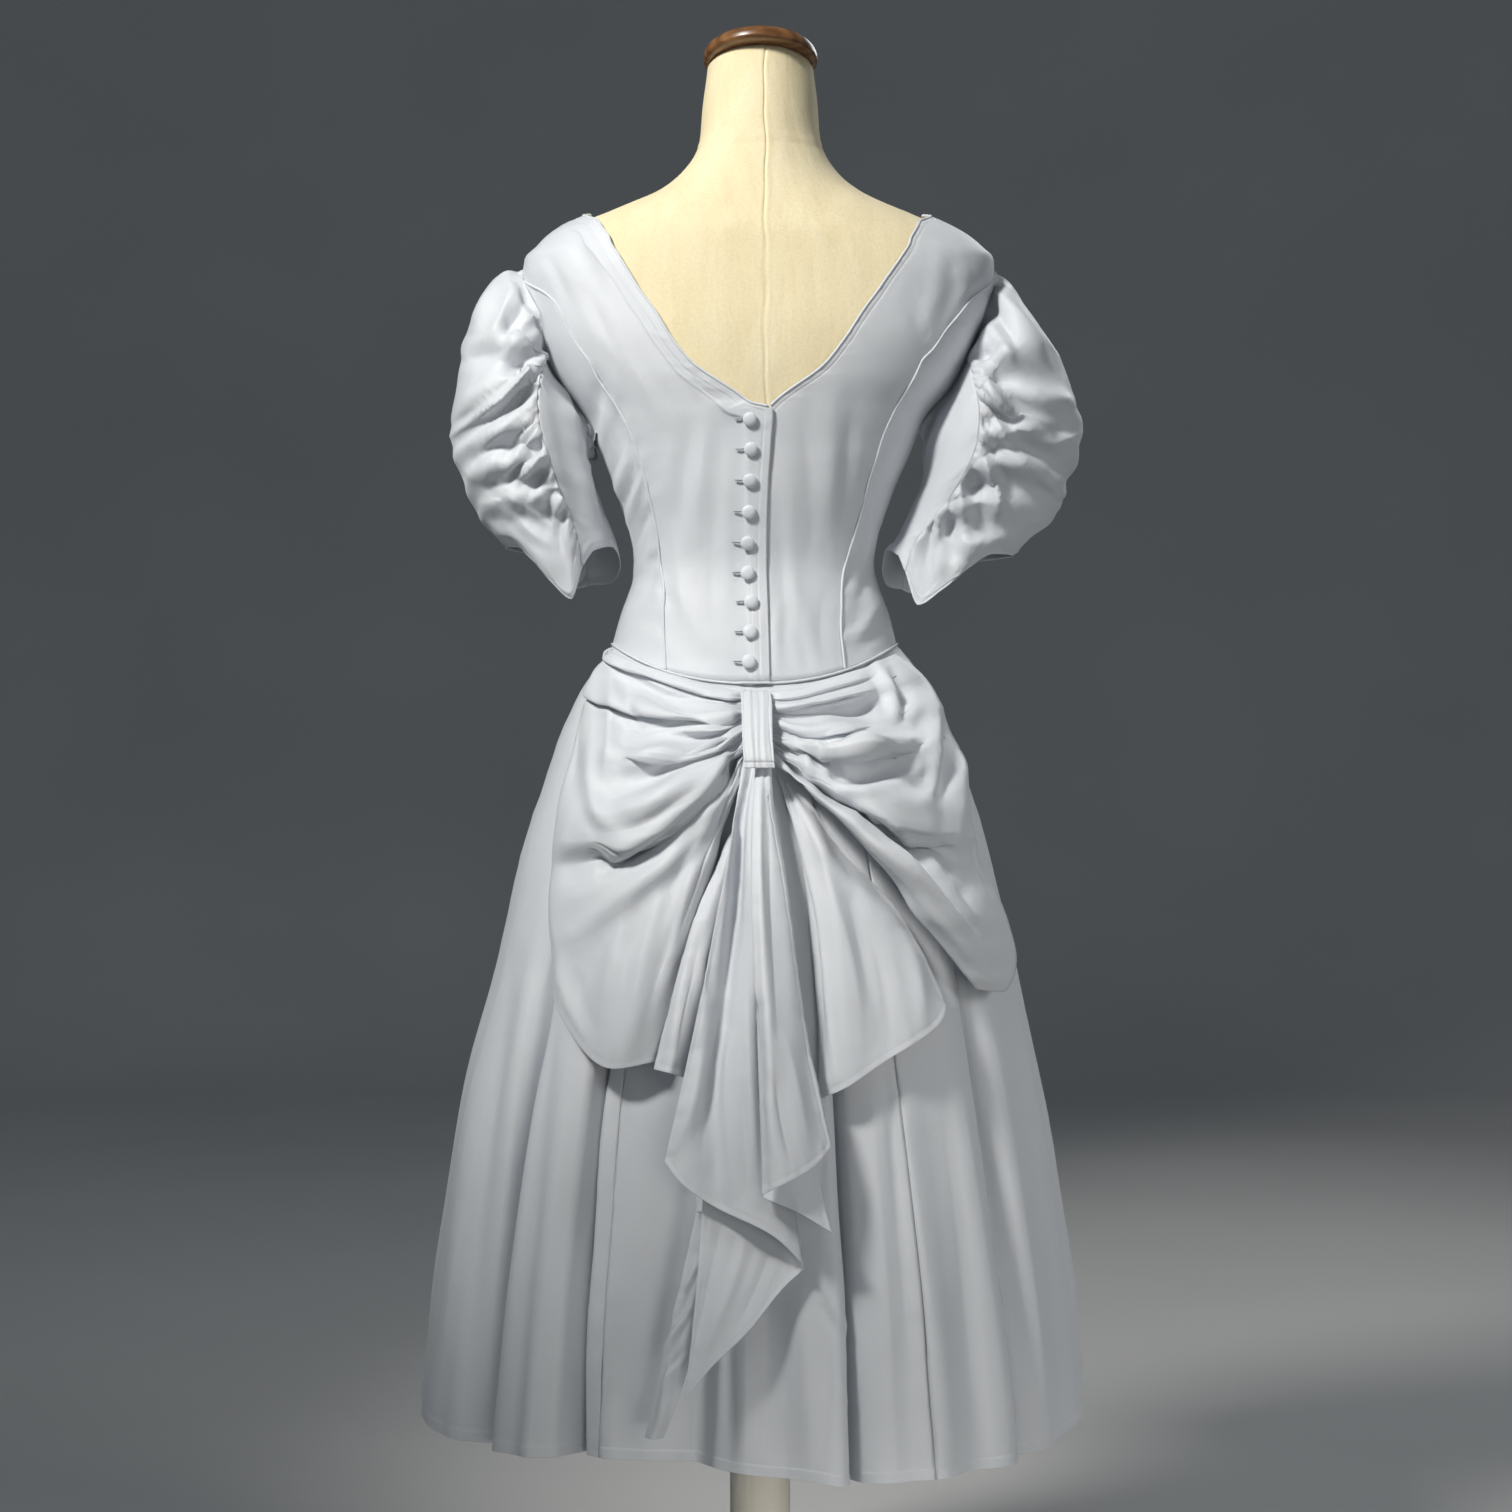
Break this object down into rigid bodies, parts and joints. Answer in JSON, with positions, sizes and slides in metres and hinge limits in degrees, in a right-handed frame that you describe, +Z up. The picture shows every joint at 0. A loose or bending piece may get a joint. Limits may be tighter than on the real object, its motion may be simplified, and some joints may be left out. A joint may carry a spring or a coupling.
{
  "type": "bustle dress on a dress form",
  "caption": "Tea-length bustle dress with puff sleeves, deep back neckline, covered buttons and draped back overskirt, worn by a limbless dress form on a pole and round base.",
  "frame": {"origin": "centre of the base's underside, on the floor", "axes": "+Z up; -Y is the dress's back, where it buttons; +X is to the right as seen from behind"},
  "size_m": [0.5978, 0.5787, 1.5114],
  "materials": {
    "cloth": "pale ice-blue cotton sateen, soft sheen",
    "piping": "self fabric over cord",
    "button": "self-covered domed button",
    "form_canvas": "cream canvas, dry",
    "form_wood": "varnished brown wood",
    "form_metal": "off-white paint"
  },
  "bodies": {
    "root": {"bodice_back_left": "cloth", "bodice_back_right": "cloth", "bodice_front": "cloth", "bodice_side_back_left": "cloth", "bodice_side_back_right": "cloth", "bodice_side_front_left": "cloth", "bodice_side_front_right": "cloth", "bustle_fall_right": "cloth", "bustle_left": "cloth", "bustle_right": "cloth", "bustle_strap": "cloth", "bustle_tail_end": "cloth", "bustle_tail_left": "cloth", "bustle_tail_middle": "cloth", "bustle_tail_right": "cloth", "bustle_tail_second": "cloth", "bustle_tail_strip": "cloth", "button_1": "button", "button_2": "button", "button_3": "button", "button_4": "button", "button_5": "button", "button_6": "button", "button_7": "button", "button_8": "button", "button_9": "button", "form_base": "form_metal", "form_neck_cap": "form_wood", "form_pole": "form_metal", "form_torso": "form_canvas", "piping_neck": "piping", "piping_princess_left": "piping", "piping_princess_right": "piping", "piping_waist": "piping", "skirt_back": "cloth", "skirt_front": "cloth", "skirt_side_back_left": "cloth", "skirt_side_back_right": "cloth", "skirt_side_front_left": "cloth", "skirt_side_front_right": "cloth", "sleeve_puff_left": "cloth", "sleeve_puff_right": "cloth", "sleeve_under_left": "cloth", "sleeve_under_right": "cloth"}
  },
  "joints": []
}
